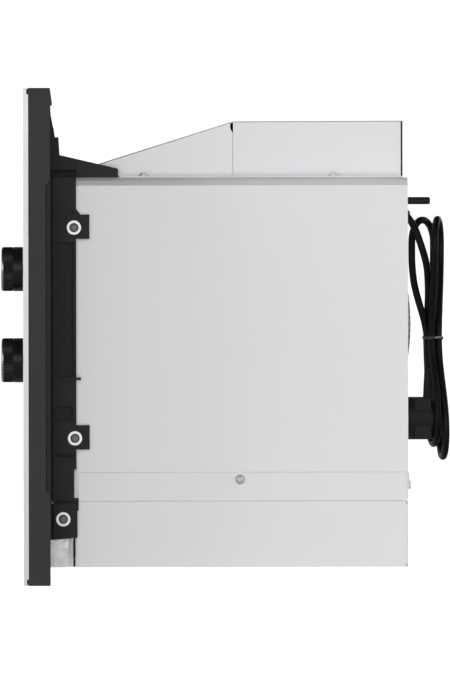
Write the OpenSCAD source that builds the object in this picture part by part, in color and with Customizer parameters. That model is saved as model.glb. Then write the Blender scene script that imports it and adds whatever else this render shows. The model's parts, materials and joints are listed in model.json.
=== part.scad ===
// Built-in microwave oven with a 595 x 388 mm trim frame around its door and panel.
// X runs to the right as the front is seen, the front faces -Y and Z is up.
// The origin is the centre of the base box's underside, where the oven rests on its shelf.

/* [Trim frame] */
// Width of the trim frame
frame_w = 595; // [593:1:597]
// Height of the trim frame
frame_h = 388; // [386:1:390]
// How far the frame hangs below the shelf
frame_drop = 13; // [12:0.5:14]
// Depth of the black frame behind its steel skin
frame_d = 17; // [16.5:0.5:17.5]
// Depth of the steel skin's turned edge
skin_edge = 4; // [3.5:0.5:4]
// Distance between the cabinet screws, side to side
screw_pitch_x = 578; // [576:1:580]
// Distance between the cabinet screws, top to bottom
screw_pitch_z = 240; // [220:5:250]
// Diameter of the holes for the cabinet screws
screw_hole_d = 4.5; // [4:0.1:5]

/* [Case] */
// Width of the cabinet
case_w = 440; // [439:0.5:440]
// Depth of the cabinet
case_d = 260; // [259:1:261]
// Height of the cabinet's top above the shelf
case_top = 306; // [305:0.5:307]
// Height of the base box
stand_h = 51.8; // [51:0.1:51.9]
// Height of the chassis flange's upper edge
flange_top = 74.4; // [72:0.2:76]
// Height of the cabinet's sloping shoulders
shoulder_h = 6.2; // [5.8:0.1:6.6]
// Width of the duct cover
duct_w = 384; // [376:2:386]
// Height of the duct cover above the cabinet
duct_h = 45; // [42:1:48]
// Length of the duct cover's sloping front
duct_slope = 141; // [135:1:145]

/* [Controls] */
// Diameter of a knob
knob_d = 35; // [32:1:36]
// How far a knob stands out of the panel
knob_reach = 18; // [17:1:19]
// Distance of the knobs from the oven's centre plane
knob_x = 174; // [173:1:175]
// Height of the power knob
power_z = 234.6; // [230:0.2:238]
// Height of the timer knob
timer_z = 162.7; // [158:0.1:164]
// Height of the push button
button_z = 87; // [86.8:0.1:87.2]

/* [Oven cavity] */
// Inside width of the cavity
cavity_w = 303; // [300:1:304]
// Inside depth of the cavity
cavity_d = 259; // [255:1:260]
// Inside height of the cavity
cavity_h = 205; // [202:1:206]
// Diameter of the glass tray
tray_d = 245; // [236:1:247]

/* [Mains cord] */
// Diameter of the mains cord
cord_d = 5.7; // [5.4:0.1:6.2]
// Diameter of the plug's body
plug_d = 34; // [32:1:36]

/* [Hidden] */
$fn = 64;

sheet = 1;
wall = 3;
gap = 0.3;
seam = 0.15;

// Planes of the front, from the skin's face to the back of the frame.
frame_back = -case_d / 2 - 21;
frame_front = frame_back - frame_d;
skin_front = frame_front - skin_edge;
frame_left = -frame_w / 2;
frame_right = frame_w / 2;
frame_bottom = -frame_drop;
frame_top = frame_h - frame_drop;
open_right = 230;
open_bottom = 45;
open_top = 313;
frame_mid_z = (frame_top + frame_bottom) / 2;

// Planes of the case.
case_right = case_w / 2;
case_back = case_d / 2;
case_front = -case_back - 0.6;
floor_z = stand_h + 0.2;
inner_z = floor_z + sheet;

// Door and control panel inside the frame's opening.
door_left = -227;
door_right = 117;
door_bottom = 49;
door_top = 309;
door_back = frame_back - 1.4;
panel_left = 119;
panel_right = 228.6;
hinge_x = -222;
hinge_y = skin_front + 6;
pin_d = 5;
window = [[-183, 97], [73, 263]];

// Door latch and the lever that lifts it.
latch_x = 107.5;
hook_z = [67.5, 256];
hook_h = 8;
lever_y = -124;
lever_z = 60;
lever_arm = 27;

// Oven cavity and turntable.
cavity_x = -55.5;
cavity_y = -20;
cavity_floor = 79;
cavity_right = cavity_x + cavity_w / 2;
roller_r = 7;
roller_track = 97;
ring_z = cavity_floor + gap + roller_r;
tray_z = ring_z + roller_r + gap;

// Fan behind the rear vent.
fan_x = 158;
fan_z = 191;
vent_r = 32.4;

// Cheek screws as [y, z], two through the case and one through the base box's bracket.
cheek_screw_places = [[-132.3, 266.7], [-131.7, 101.4], [-141, 37.9]];
// Case screws as [y, z] on the chassis flange and [x, y] on the duct cover's flanges.
side_screw_place = [-2, 68.8];
duct_screw_places = [[-198.5, -77.5], [-198.5, 71.8], [198.5, -77.5], [198.5, 71.8]];
spacer_x = 170;
spacer_z = 288.1;

// Mains cord: where it leaves its gland and the points that its lead follows.
gland_x = 100;
cord_exit = [gland_x, 132.5, 277];
exit_tilt = 143;
cord_route = [
    [100, 132.5, 277], [100, 133.7, 275.4], [100, 135, 273.6], [100, 136.3, 271.7], [100, 137.5, 269.7]
];
hank_x = 85;
tie_z = 179.8;
plug_x = 88;
plug_z = 115.9;
plug_face = 133.8;
plug_back = 155.5;

// ---------------------------------------------------------------- shared shapes

// A block between two opposite corners.
module block(from, to) {
    translate(from) cube(to - from);
}

// Extrudes an outline of [y, z] points from x0 to x1.
module along_x(x0, x1) {
    translate([x0, 0, 0]) rotate([90, 0, 90]) linear_extrude(x1 - x0) children();
}

// Extrudes an outline of [x, z] points from y0 to y1.
module along_y(y0, y1) {
    translate([0, y1, 0]) rotate([90, 0, 0]) linear_extrude(y1 - y0) children();
}

// Round rods along the three axes, placed by their centre line.
module rod_x(y, z, x0, x1, d) {
    translate([x0, y, z]) rotate([0, 90, 0]) cylinder(h = x1 - x0, d = d);
}

module rod_y(x, z, y0, y1, d) {
    translate([x, y1, z]) rotate([90, 0, 0]) cylinder(h = y1 - y0, d = d);
}

module rod_z(x, y, z0, z1, d) {
    translate([x, y, z0]) cylinder(h = z1 - z0, d = d);
}

// The same shape on the right and, mirrored, on the left.
module both_sides() {
    children();
    mirror([1, 0, 0]) children();
}

// Points of an arc, from angle a0 to a1.
function arc(centre, r, a0, a1, steps = 12) =
    [for (i = [0 : steps]) centre + r * [cos(a0 + (a1 - a0) * i / steps), sin(a0 + (a1 - a0) * i / steps)]];

// A ring of points around p, square to the direction d.
function ring_at(p, d, r, sides) =
    let (u = cross(d, [1, 0, 0]) / norm(cross(d, [1, 0, 0])), v = cross(u, d) / norm(d))
    [for (k = [0 : sides - 1]) p + r * (cos(360 * k / sides) * u + sin(360 * k / sides) * v)];

function heading(path, i) = path[min(i + 1, len(path) - 1)] - path[max(i - 1, 0)];

// A tube of the given diameter that follows a path of points.
module tube(path, d, sides = 10) {
    count = len(path);
    points = [for (i = [0 : count - 1]) each ring_at(path[i], heading(path, i), d / 2, sides)];
    walls = [
        for (i = [0 : count - 2], k = [0 : sides - 1])
            let (a = i * sides + k, b = i * sides + (k + 1) % sides)
                each [[a, b, b + sides], [a, b + sides, a + sides]]
    ];
    first = [for (k = [sides - 1 : -1 : 0]) k];
    last = [for (k = [0 : sides - 1]) (count - 1) * sides + k];
    polyhedron(points, concat([first, last], walls));
}

// A compression spring that stands on the XY plane.
module spring(length, coil_d, wire_d, turns) {
    steps = 14;
    tube([
        for (i = [0 : turns * steps])
            [coil_d / 2 * cos(360 * i / steps), coil_d / 2 * sin(360 * i / steps),
             wire_d / 2 + (length - wire_d) * i / (turns * steps)]
    ], wire_d, 6);
}

// A pan-head screw that points along -Z, with its head standing on the XY plane.
module pan_screw(head_d, head_h, shank_d, length) {
    difference() {
        intersection() {
            cylinder(h = head_h, d = head_d);
            translate([0, 0, head_h - head_d]) sphere(d = 2 * head_d);
        }
        for (a = [0, 90]) rotate([0, 0, a])
            block([-head_d * 0.3, -head_d * 0.07, head_h * 0.4], [head_d * 0.3, head_d * 0.07, head_h + 1]);
    }
    translate([0, 0, -length]) cylinder(h = length, d = shank_d);
}

// ---------------------------------------------------------------- trim frame

// The frame's opening, cut right through.
module frame_opening() {
    block([-open_right, skin_front - 1, open_bottom], [open_right, frame_back + 9, open_top]);
}

// Louvre slots in the frame's top bar, where the duct breathes out.
module louvre_slots(y0, y1) {
    for (z = [326, 340], i = [-6 : 6])
        block([i * 32 - 12, y0, z], [i * 32 + 12, y1, z + 5]);
}

module cabinet_screw_holes(y0, y1) {
    for (side = [-1, 1], end = [-1, 1])
        rod_y(side * screw_pitch_x / 2, frame_mid_z + end * screw_pitch_z / 2, y0, y1, screw_hole_d);
}

module trim_frame() {
    inset = 1;
    plate_back = frame_front + wall;
    lip_back = frame_back - 3.5;
    color("#2b2c2e") difference() {
        union() {
            block([frame_left + inset, skin_front + inset, frame_bottom + inset],
                  [frame_right - inset, frame_front + 1, frame_top - inset]);
            block([frame_left, frame_front, frame_bottom], [frame_right, frame_back, frame_top]);
            // Snap nose at the right-hand end of the top bar.
            along_x(frame_right - 6, frame_right)
                polygon([[frame_back - 1, frame_top], [frame_back, frame_top],
                         [frame_back + 1.8, frame_top - 13], [frame_back + 0.7, frame_top - 14],
                         [frame_back - 1, frame_top - 14]]);
        }
        // The hollow behind the front plate, between the outer rim and the opening's lip.
        difference() {
            block([frame_left + wall, plate_back, frame_bottom + wall],
                  [frame_right - wall, frame_back + 1, frame_top - wall]);
            block([-open_right - wall, frame_front, open_bottom - wall],
                  [open_right + wall, lip_back, open_top + wall]);
            both_sides() for (z = [frame_bottom + 30, frame_mid_z, frame_top - 34])
                block([open_right, frame_front, z], [frame_right, lip_back - 6, z + 2]);
            for (x = [-150 : 100 : 150])
                block([x - 1, frame_front, frame_bottom], [x + 1, lip_back - 6, open_bottom]);
        }
        // The rim's back edge is set back between its corners.
        both_sides() along_x(frame_right - wall - 1, frame_right + 1)
            polygon([[frame_back + 1, 57.5], [frame_back, 57.5], [lip_back, 61], [lip_back, 299],
                     [frame_back, 303.5], [frame_back + 1, 303.5]]);
        frame_opening();
        louvre_slots(skin_front, plate_back + 1);
        cabinet_screw_holes(skin_front, plate_back + 1);
    }
}

module frame_skin() {
    color("#c6c7c8") difference() {
        block([frame_left, skin_front, frame_bottom], [frame_right, frame_front, frame_top]);
        block([frame_left + 0.8, skin_front + 0.8, frame_bottom + 0.8],
              [frame_right - 0.8, frame_front + 1, frame_top - 0.8]);
        frame_opening();
        // The turned edge is notched at the corners.
        both_sides() for (z = [frame_bottom - 1, frame_top - 5])
            block([frame_right - 1.2, frame_front - 1.4, z], [frame_right + 1, frame_front + 1, z + 6]);
        louvre_slots(skin_front - 1, skin_front + 2);
        cabinet_screw_holes(skin_front - 1, skin_front + 2);
    }
}

// A moulded bracket beside the case: it ties the frame to the cabinet and the base box.
module cheek() {
    x0 = case_right + 0.4;
    pocket_x = x0 + 2.6;
    face_x = x0 + 7.6;
    front = frame_back - 3.2;
    rear = -130.6;
    difference() {
        union() {
            // Body beside the case, narrower below the cabinet.
            block([x0, frame_back, 77], [face_x, rear, case_top]);
            block([x0, frame_back, 52.4], [face_x, rear - 1.8, 78]);
            // Flange that lies in the frame's hollow, and the strip that carries it.
            block([x0 + 12.8, front, 57.8], [frame_right - wall - 0.4, frame_back, 303.2]);
            block([face_x - 2, frame_back, 57.8], [x0 + 14, frame_back + 0.9, 303.2]);
            // Cross ribs that reach over the cabinet's edge.
            block([x0, frame_back + 3, 147.2], [face_x + 1.4, rear + 3.6, 149.1]);
            block([x0, frame_back + 3, 277.3], [face_x + 1.4, rear, 279.2]);
            along_x(x0, x0 + 6)
                polygon([[rear - 1, 281.4], [rear, 281.4], [rear + 3.2, 277.4], [rear + 3.2, 275],
                         [rear - 1, 275]]);
            // Screw tabs that lap over the cabinet.
            for (i = [0, 1]) let (z = cheek_screw_places[i][1]) {
                block([x0, -145, z - 8.8], [x0 + 6, -120.2, z + 10.3]);
                rod_x(cheek_screw_places[i][0], z, x0, face_x, 13.6);
            }
            // Foot block that reaches down to the base box's bracket.
            along_x(x0, face_x) polygon([[-148.6, 50], [-129.9, 50], [-129.9, 23.4], [-148.6, 21.8]]);
            along_x(x0, pocket_x)
                polygon([[-151.1, 50], [-148, 50], [-148, 21.8], [-152.4, 21.4], [-152.4, 45.6],
                         [-151.1, 45.6]]);
            block([x0, -148.6, 45], [pocket_x, -133, 56]);
            block([x0, -134.6, 44.6], [pocket_x, -128.9, 54.4]);
            // Tail that closes the joint between the bracket and the base box.
            block([x0, -133.2, 0.6], [pocket_x, -131.5, 25]);
        }
        for (i = [0, 1])
            rod_x(cheek_screw_places[i][0], cheek_screw_places[i][1], x0 - 1, x0 + 9, 3.9);
        rod_x(cheek_screw_places[2][0], cheek_screw_places[2][1], x0 - 1, face_x + 1, 3.9);
        // Recess around the upper screws, groove along the strip, and pockets between the ribs.
        for (i = [0, 1])
            rod_x(cheek_screw_places[i][0], cheek_screw_places[i][1], face_x, face_x + 3, 13.6);
        block([pocket_x, frame_back + 0.9, 51], [face_x + 1, frame_back + 1.9, case_top + 1]);
        block([pocket_x, frame_back + 3, 149.1], [face_x + 1, rear - 2, 255.2]);
        for (z = [[86.2, 89.1], [114.8, 126.2]])
            block([pocket_x, frame_back + 3, z[0]], [face_x + 1, rear - 2.8, z[1]]);
    }
}

module side_cheeks() {
    color("#202123") both_sides() cheek();
}

module cheek_screws() {
    x0 = case_right + 8.1;
    color("#d2d3d4") both_sides() for (place = cheek_screw_places)
        translate([x0, place[0], place[1]]) rotate([0, 90, 0]) {
            difference() {
                cylinder(h = 1.8, d = 11.2);
                translate([0, 0, -1]) cylinder(h = 4, d = 7.2);
            }
            pan_screw(5.6, 1.7, 3.5, 14);
        }
}

// The roof that leads the duct's air to the louvres.
module air_deflector() {
    side_x = 205;
    front = frame_back - 1;
    skirt = case_top + 0.5;
    color("#26272a") {
        difference() {
            along_x(-side_x, side_x) polygon([
                [front, 363.4], [-150.7, 363.4], [-150.4, 356], [-147, 338], [-144.3, 338], [-143.4, 324],
                [-98.4, 313.5], [-97.4, 312.5], [-97.4, skirt], [front, skirt]
            ]);
            // Hollow under the roof, open in front and below.
            along_x(-side_x + wall, side_x - wall) polygon([
                [front - 1, 351], [-149, 349], [-149, 334], [-146.6, 321.6], [-90, 308.4], [-90, skirt - 1],
                [front - 1, skirt - 1]
            ]);
            // The roof stops just short of the duct cover's slope; only the gussets go on.
            block([-side_x + wall, -120, skirt - 1], [side_x - wall, -90, 330]);
            // Notch in the gussets above the cheeks.
            block([-side_x - 1, front - 1, skirt - 1], [side_x + 1, -130.5, 312.4]);
        }
        // Ribs under the roof, inside the notch.
        both_sides() along_x(194, 196.5)
            polygon([[front, skirt], [front, 352], [-148, 345], [-145.4, 322.4], [-128, 318.3], [-128, skirt]]);
    }
}

// ---------------------------------------------------------------- case

// The cabinet's outline with its two-step shoulders, set in by the given amount.
module shouldered(inset, z0, y0, y1) {
    side = [
        [case_right - inset, z0],
        [case_right - inset, case_top - shoulder_h - 0.56 * inset],
        [case_right - 6.4 - 0.41 * inset, case_top - 2.3 - 0.92 * inset],
        [case_right - 14.4 - 0.14 * inset, case_top - inset]
    ];
    along_y(y0, y1) polygon(concat(side, [for (i = [len(side) - 1 : -1 : 0]) [-side[i][0], side[i][1]]]));
}

module outer_cabinet() {
    color("#d9d9db") difference() {
        shouldered(0, flange_top + seam, case_front, case_back);
        shouldered(sheet, flange_top - 1, case_front - 1, case_back + 1);
        // Grille under the duct cover.
        for (i = [-7 : 7]) block([i * 16 - 4, -60, case_top - 5], [i * 16 + 4, 60, case_top + 1]);
        both_sides() {
            for (i = [0, 1])
                rod_x(cheek_screw_places[i][0], cheek_screw_places[i][1], case_right - 2, case_right + 1, 3.9);
        }
        for (place = duct_screw_places) rod_z(place[0], place[1], case_top - 3, case_top + 1, 3.9);
    }
}

module case_screws() {
    color("#c9cacc") {
        both_sides() translate([case_right + 0.1, side_screw_place[0], side_screw_place[1]]) rotate([0, 90, 0])
            pan_screw(7.6, 2.4, 3.5, 8);
        for (place = duct_screw_places) translate([place[0], place[1], case_top + sheet + 0.2]) {
            cylinder(h = 0.9, d = 7.6);
            translate([0, 0, 0.9]) pan_screw(5.6, 1.9, 3.5, 9);
        }
    }
}

module chassis_base() {
    joggle = 1.8;
    color("#d6d6d8") difference() {
        union() {
            block([-case_right, case_front + 1.6, floor_z], [case_right, case_back - 1, inner_z]);
            block([-case_right + joggle, frame_back + 1.6, floor_z],
                  [case_right - joggle, case_front + 2, inner_z]);
            both_sides() {
                block([case_right - sheet, case_front + 1.6, floor_z], [case_right, case_back - 1, flange_top]);
                // Joggled front end, set in behind the cheek.
                block([case_right - joggle - 1, frame_back + 1.6, floor_z],
                      [case_right - joggle, case_front + 3, flange_top + 3]);
                block([case_right - joggle - 1, case_front + 1.6, floor_z],
                      [case_right, case_front + 2.6, flange_top]);
            }
        }
        both_sides()
            rod_x(side_screw_place[0], side_screw_place[1], case_right - 2, case_right + 1, 3.9);
        // Air inlet slots under the fan bay.
        for (i = [0 : 7]) block([110 + i * 12, 40, floor_z - 1], [116 + i * 12, 100, inner_z + 1]);
    }
}

module rear_panel() {
    color("#cfcfd1") difference() {
        union() {
            shouldered(sheet + gap, inner_z + 0.2, case_back - 1.2, case_back - 0.2);
            // Tabs that hold the oven off the wall.
            both_sides() {
                block([183, case_back - 1, 60.4], [197, case_back + 1.4, 73.4]);
                rod_y(190, 64.2, case_back, case_back + 2.9, 6.4);
            }
        }
        rod_y(fan_x, fan_z, case_back - 3, case_back + 1, 2 * vent_r - 7);
        rod_y(spacer_x, spacer_z, case_back - 3, case_back + 1, 4.4);
        for (side = [-1, 1]) rod_y(plug_x + side * 9.5, plug_z, case_back - 3, case_back + 1, 6);
        rod_y(gland_x, cord_exit[2] + 4, case_back - 3, case_back + 1, 9);
        // Outlet slots on the cavity's side.
        for (i = [0 : 9]) block([-190 + i * 12, case_back - 3, 120], [-186 + i * 12, case_back + 1, 160]);
    }
}

// A shallow domed grille over the fan's inlet.
module rear_vent() {
    rise = 3.1;
    dome_r = (vent_r * vent_r + rise * rise) / (2 * rise);
    edge_angle = asin(vent_r / dome_r);
    pitch = 6;
    color("#4a4b4d") translate([fan_x, case_back + 0.6, fan_z]) rotate([-90, 0, 0]) difference() {
        rotate_extrude() polygon(concat(
            arc([0, rise - dome_r], dome_r, 90 - edge_angle, 90, 8),
            arc([0, rise - dome_r], dome_r - 0.8, 90, 90 - edge_angle, 8)));
        for (i = [-6 : 6], j = [-5 : 5])
            let (x = pitch * (i + j / 2), y = pitch * j * sqrt(3) / 2)
                if (norm([x, y]) < vent_r - 5)
                    translate([x, y, -1]) cylinder(h = rise + 3, d = 3.8, $fn = 12);
    }
}

module spacer_pin() {
    length = 19;
    pin_r = 2.9;
    tip_r = 1.6;
    color("#3a3b3d") {
        rod_y(spacer_x, spacer_z, case_back, case_back + length - tip_r, 2 * pin_r);
        translate([spacer_x, case_back + length - tip_r, spacer_z]) rotate([-90, 0, 0]) rotate_extrude()
            polygon(concat([[0, 0]], [[pin_r, 0]], arc([pin_r - tip_r, 0], tip_r, 0, 90, 6), [[0, tip_r]]));
        rod_y(spacer_x, spacer_z, case_back - 5, case_back, 4);
    }
}

// The base box: a folded tray that carries the chassis and lies on the shelf.
module stand_box() {
    lip = 12;
    color("#d6d6d8") difference() {
        block([-case_right, -case_back, 0], [case_right, case_back, stand_h]);
        block([-case_right + sheet, -case_back - 1, sheet],
              [case_right - sheet, case_back - sheet, stand_h - sheet]);
        block([-case_right + lip, -case_back - 1, stand_h - 2],
              [case_right - lip, case_back - lip, stand_h + 1]);
        // Notches at the rear corners, where the folds meet.
        both_sides() for (z = [-1, stand_h - 2.4])
            block([case_right - 3, case_back - 1.6, z], [case_right + 1, case_back + 1, z + 3.4]);
        // Bends down the rear corners.
        both_sides() translate([0, 0, -1]) linear_extrude(stand_h + 2)
            polygon([[case_right + 1, case_back - 1.1], [case_right + 1, case_back + 1],
                     [case_right - 5, case_back + 1]]);
        for (i = [-8 : 8]) block([i * 24 - 8, case_back - 3, 14], [i * 24 + 8, case_back + 1, 18]);
    }
    // Tongues at the front of the side walls.
    color("#d6d6d8") both_sides()
        block([case_right - 1.8, -131.4, sheet / 2], [case_right - 0.8, -case_back + 2, stand_h - 3]);
}

// Galvanised channels between the base box and the cheeks' foot blocks.
module stand_brackets() {
    x1 = case_right + 0.1;
    front = frame_back - 1.5;
    rear = -132.8;
    color("#b9bcbf") both_sides() difference() {
        union() {
            block([x1 - 1.2, front, 0], [x1, rear, 41.4]);
            block([x1 - 1.2, frame_back + 0.6, 40], [x1, rear, 48]);
            for (y = [frame_back + 0.6, rear - 1.2]) block([x1 - 14, y, 0], [x1, y + 1.2, 48]);
            block([x1 - 14, frame_back + 0.6, 0], [x1, rear, 1.2]);
        }
        rod_x(cheek_screw_places[2][0], cheek_screw_places[2][1], x1 - 3, x1 + 1, 3.9);
        // Pressed line beside the rear fold.
        translate([0, 0, 1.5]) linear_extrude(47)
            polygon([[x1 - 1, rear - 3], [x1 + 0.2, rear - 4.4], [x1 + 0.2, rear - 1.6]]);
    }
}

// Cuts the bend along the duct cover's upper side edges, between two [y, z] points.
module duct_bend(from, to) {
    path = to - from;
    both_sides() translate([0, from[0], from[1]]) rotate([atan2(path[1], path[0]), 0, 0])
        along_y(0, norm(path))
            polygon([[duct_w / 2 - 3.2, 0.3], [duct_w / 2 + 0.8, 0.3], [duct_w / 2 + 0.8, -1.2]]);
}

module duct_cover() {
    half_w = duct_w / 2;
    front = -148;
    fold_y = front + duct_slope;
    back = case_back - 3.3;
    base = case_top + 0.2;
    top = case_top + duct_h;
    slope = (top - base) / duct_slope;
    color("#cbccce") difference() {
        union() {
            along_x(-half_w, half_w) polygon([[front, base], [fold_y, top - 0.4], [back, top], [back, base]]);
            both_sides() block([half_w - 1, -96, base], [204.5, back, base + sheet]);
        }
        // Hollow inside, open below over the cabinet's grille.
        along_x(-half_w + sheet, half_w - sheet) polygon([
            [front + sheet / slope, base - 1], [front + sheet / slope, base], [fold_y, top - 0.4 - sheet],
            [back - sheet, top - sheet], [back - sheet, base - 1]
        ]);
        // Relief notches beside the fold.
        both_sides() along_x(half_w - 2, half_w + 1)
            polygon([[fold_y - 2, top + 1], [fold_y + 0.2, top + 1], [fold_y + 0.2, top - 9.8],
                     [fold_y - 0.4, top - 9.2], [fold_y - 2, top - 6]]);
        duct_bend([front, base], [fold_y, top - 0.4]);
        duct_bend([fold_y - 0.5, top - 0.4], [back + 1, top]);
        // Louvres in the slope, under the deflector.
        for (i = [-5 : 5]) block([i * 32 - 11, -138, base + 1.5], [i * 32 + 11, -122, base + 20]);
        for (place = duct_screw_places) rod_z(place[0], place[1], base - 1, base + 2, 3.9);
    }
}

// ---------------------------------------------------------------- front plate and hinges

module front_plate() {
    y0 = frame_back;
    y1 = frame_back + 1.2;
    color("#b4b5b7") difference() {
        block([-case_right + 1.5, y0, inner_z + 0.2], [case_right - 1.5, y1, case_top - 1.5]);
        block([cavity_x - cavity_w / 2, y0 - 1, cavity_floor], [cavity_right, y1 + 1, cavity_floor + cavity_h]);
        for (z = hook_z) block([latch_x - 4.5, y0 - 1, z - 3.4], [latch_x + 4.5, y1 + 1, z + hook_h + 4.8]);
        block([124, y0 - 1, 58], [214, y1 + 1, 298]);
    }
}

module door_hinges() {
    arm_left = hinge_x - 6;
    arm_right = hinge_x + 16;
    color("#a9abad") for (top = [0, 1]) {
        z0 = top == 1 ? door_top + 0.7 : door_bottom - 2.7;
        pin_z = top == 1 ? [door_top - 8, door_top + 1] : [door_bottom - 1, door_bottom + 8];
        block([arm_left, skin_front + 1.5, z0], [arm_right, frame_back - 0.3, z0 + 2]);
        rod_z(hinge_x, hinge_y, pin_z[0], pin_z[1], pin_d);
        // Foot that turns in front of the front plate and is riveted to it.
        translate([0, 0, top == 1 ? z0 - 9 : z0])
            block([arm_left + 10, frame_back - 1.3, 0], [arm_right, frame_back - 0.1, 11]);
    }
}

// ---------------------------------------------------------------- cavity and heating

module cavity() {
    x0 = cavity_x - cavity_w / 2;
    y0 = frame_back + 1.4;
    y1 = y0 + cavity_d;
    top = cavity_floor + cavity_h;
    color("#b9babc") difference() {
        block([x0 - sheet, y0, cavity_floor - sheet], [cavity_right + sheet, y1 + sheet, top + sheet]);
        block([x0, y0 - 1, cavity_floor], [cavity_right, y1, top]);
        rod_z(cavity_x, cavity_y, cavity_floor - 2, cavity_floor + 1, 12);
        // Port for the waveguide, lamp window and steam slots.
        block([cavity_right - 1, -35, 176], [cavity_right + 2, 5, 214]);
        block([cavity_right - 1, 54, 234], [cavity_right + 2, 76, 250]);
        for (i = [-5 : 5]) block([cavity_x + i * 9 - 2, 40, top - 1], [cavity_x + i * 9 + 2, 80, top + 2]);
    }
}

module waveguide() {
    color("#aeb0b2") difference() {
        block([cavity_right + 1.2, -40, 168], [cavity_right + 22, 40, 274]);
        block([cavity_right, -39, 169], [cavity_right + 21, 39, 273]);
        rod_x(0, 235, cavity_right + 20, cavity_right + 23, 24);
    }
}

module waveguide_cover() {
    color("#c9c2ae") block([cavity_right - 0.7, -39, 172], [cavity_right - 0.2, 9, 218]);
}

module magnetron() {
    x0 = cavity_right + 22.2;
    x1 = x0 + 66;
    color("#9fa2a6") {
        difference() {
            union() {
                for (x = [x0, x1 - 2]) block([x, -40, 203], [x + 2, 40, 267]);
                for (z = [203, 265]) block([x0, -40, z], [x1, 40, z + 2]);
                rod_x(0, 235, x0, x1, 40);
                for (i = [1 : 6]) block([x0 + i * 9, -36, 207], [x0 + i * 9 + 0.8, 36, 263]);
                rod_x(0, 235, x0 - 16, x0 + 1, 15);
                block([x1 - 1, -20, 213], [x1 + 16, 20, 257]);
            }
            for (side = [-1, 1]) rod_x(side * 34, 208.5, x0 - 1, x0 + 3, 4.4);
        }
    }
}

module transformer() {
    color("#7d6a52") {
        for (y = [-84, -12]) block([130, y, 66], [190, y + 14, 112]);
        block([120, -70, inner_z + 3.2], [200, -12, 122]);
        block([112, -66, inner_z + 0.2], [208, -16, inner_z + 3.4]);
    }
}

module capacitor() {
    x = 188;
    z = 84;
    color("#b3b6b9") {
        rod_y(x, z, 18, 98, 50);
        for (side = [-1, 1]) rod_y(x + side * 9, z, 97, 104, 5);
        difference() {
            block([x - 26.5, 50, inner_z + 0.2], [x + 26.5, 62, z + 6]);
            rod_y(x, z, 49, 63, 49);
        }
    }
}

module cavity_lamp() {
    x0 = cavity_right + 1.3;
    color("#e6e2d4") {
        block([x0, 50, 228], [x0 + 3, 82, 256]);
        rod_x(65, 242, x0 + 2, x0 + 24, 18);
        translate([x0 + 24, 65, 242]) sphere(d = 18);
    }
}

module fan_shroud() {
    y0 = 106;
    color("#303134") difference() {
        union() {
            block([fan_x - 52, y0, fan_z - 52], [fan_x + 52, y0 + 2, fan_z + 52]);
            rod_y(fan_x, fan_z, y0 - 14, y0 + 2, 102);
            for (sx = [-1, 1], sz = [-1, 1])
                rod_y(fan_x + sx * 46, fan_z + sz * 46, y0, case_back - 1.4, 8);
        }
        rod_y(fan_x, fan_z, y0 - 15, y0 + 3, 97);
    }
}

module fan_motor() {
    y0 = 109;
    color("#8f5f3a") difference() {
        union() {
            block([fan_x - 19, y0, fan_z - 27], [fan_x + 19, y0 + 15, fan_z + 27]);
            block([fan_x - 50, y0, fan_z - 5], [fan_x + 50, y0 + 1.6, fan_z + 5]);
        }
        rod_y(fan_x, fan_z, y0 - 1, y0 + 12, 4.1);
    }
}

module fan_blade() {
    color("#e3e3e0") {
        rod_y(fan_x, fan_z, 91, 119, 4);
        rod_y(fan_x, fan_z, 93, 104, 24);
        for (a = [0 : 72 : 288]) translate([fan_x, 98.5, fan_z]) rotate([0, a, 0]) translate([9, 0, 0])
            rotate([32, 0, 0]) block([0, -0.8, -9], [35, 0.8, 9]);
    }
}

// ---------------------------------------------------------------- turntable

module turntable_motor() {
    top = cavity_floor - sheet - 0.2;
    color("#a5a7a9") difference() {
        union() {
            rod_z(cavity_x, cavity_y, top - 18, top - 2, 49);
            block([cavity_x - 32, cavity_y - 7, top - 3.5], [cavity_x + 32, cavity_y + 7, top - 2]);
            for (side = [-1, 1]) rod_z(cavity_x + side * 28, cavity_y, top - 3, top, 9);
        }
        rod_z(cavity_x, cavity_y, top - 12, top + 1, 6.1);
    }
}

module turntable_coupler() {
    color("#e8e6dd") {
        rod_z(cavity_x, cavity_y, cavity_floor - 12, cavity_floor + 1.5, 6);
        rod_z(cavity_x, cavity_y, cavity_floor - 0.6, cavity_floor + 8, 9);
        translate([cavity_x, cavity_y, cavity_floor + 5]) for (a = [0, 120, 240]) rotate([0, 0, a])
            block([0, -3, 0], [12, 3, tray_z - cavity_floor - 5.3]);
    }
}

module glass_tray() {
    r = tray_d / 2;
    z = tray_z;
    color("#cfe3e4") translate([cavity_x, cavity_y, 0]) difference() {
        rotate_extrude($fn = 96) polygon(concat(
            [[0, z], [r - 20, z], [r - 1, z + 11]], [[r, z + 14], [r - 3, z + 15]],
            [[r - 4, z + 14], [r - 21, z + 4], [0, z + 4]]));
        // Moulded recess that the coupler's three arms drive.
        translate([0, 0, z - 1]) cylinder(h = 1.4, d = 27);
    }
}

module roller_ring() {
    z = ring_z;
    r = roller_track - 9;
    color("#dedcd3") translate([cavity_x, cavity_y, 0]) {
        difference() {
            rod_z(0, 0, z - 2.6, z + 2.6, 2 * r + 8);
            rod_z(0, 0, z - 3, z + 3, 2 * r - 8);
        }
        for (a = [30, 150, 270]) rotate([0, 0, a]) {
            rod_x(0, z, r, roller_track + 4.6, 4);
            rod_x(0, z, roller_track + 4, roller_track + 5, 6.4);
        }
    }
}

// One of the three rollers, at its angle around the ring.
module roller(angle) {
    color("#e9e7de") translate([cavity_x, cavity_y, ring_z]) rotate([0, 0, angle]) difference() {
        rod_x(0, 0, roller_track - 3.2, roller_track + 3.2, 2 * roller_r);
        rod_x(0, 0, roller_track - 4, roller_track + 4, 4.16);
    }
}

// ---------------------------------------------------------------- latch and switches

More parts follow.
